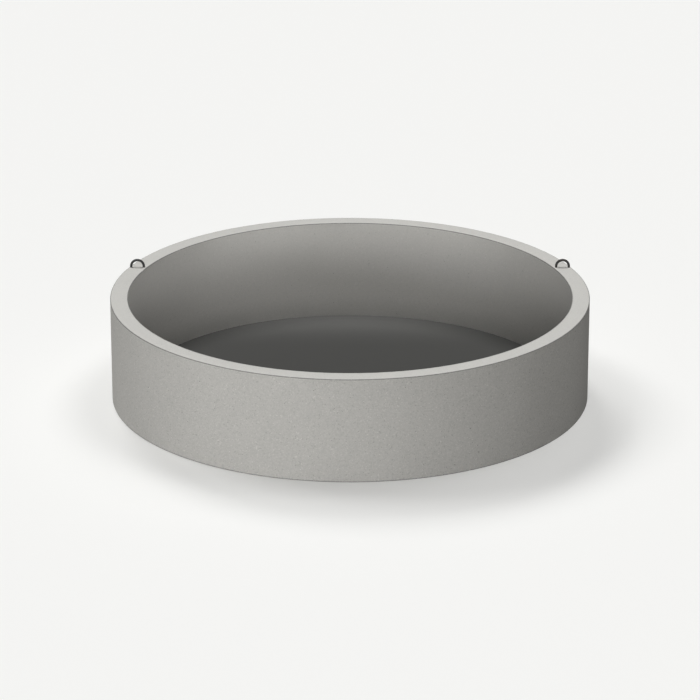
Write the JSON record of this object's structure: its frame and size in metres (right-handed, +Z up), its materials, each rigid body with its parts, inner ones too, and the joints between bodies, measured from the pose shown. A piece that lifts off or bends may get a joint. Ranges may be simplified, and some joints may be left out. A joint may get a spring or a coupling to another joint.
{
  "type": "concrete culvert ring",
  "caption": "Plain round wall ring of reinforced concrete with flat ends, for lining a shaft, well or culvert, with lifting loops of round steel bar cast into its rim.",
  "frame": {"origin": "centre of the bed, the flat end that the ring stands on", "axes": "+Z up along the ring's axis, +Y away from the viewer, towards the side of the diameter that the lifting loops are on, +X to the right"},
  "size_m": [2.7, 2.7, 0.6432],
  "materials": {
    "concrete": "matte",
    "loop_steel": "satin"
  },
  "bodies": {
    "root": {"ring_wall": "concrete", "lifting_loop_left": "loop_steel", "lifting_loop_right": "loop_steel"}
  },
  "joints": []
}
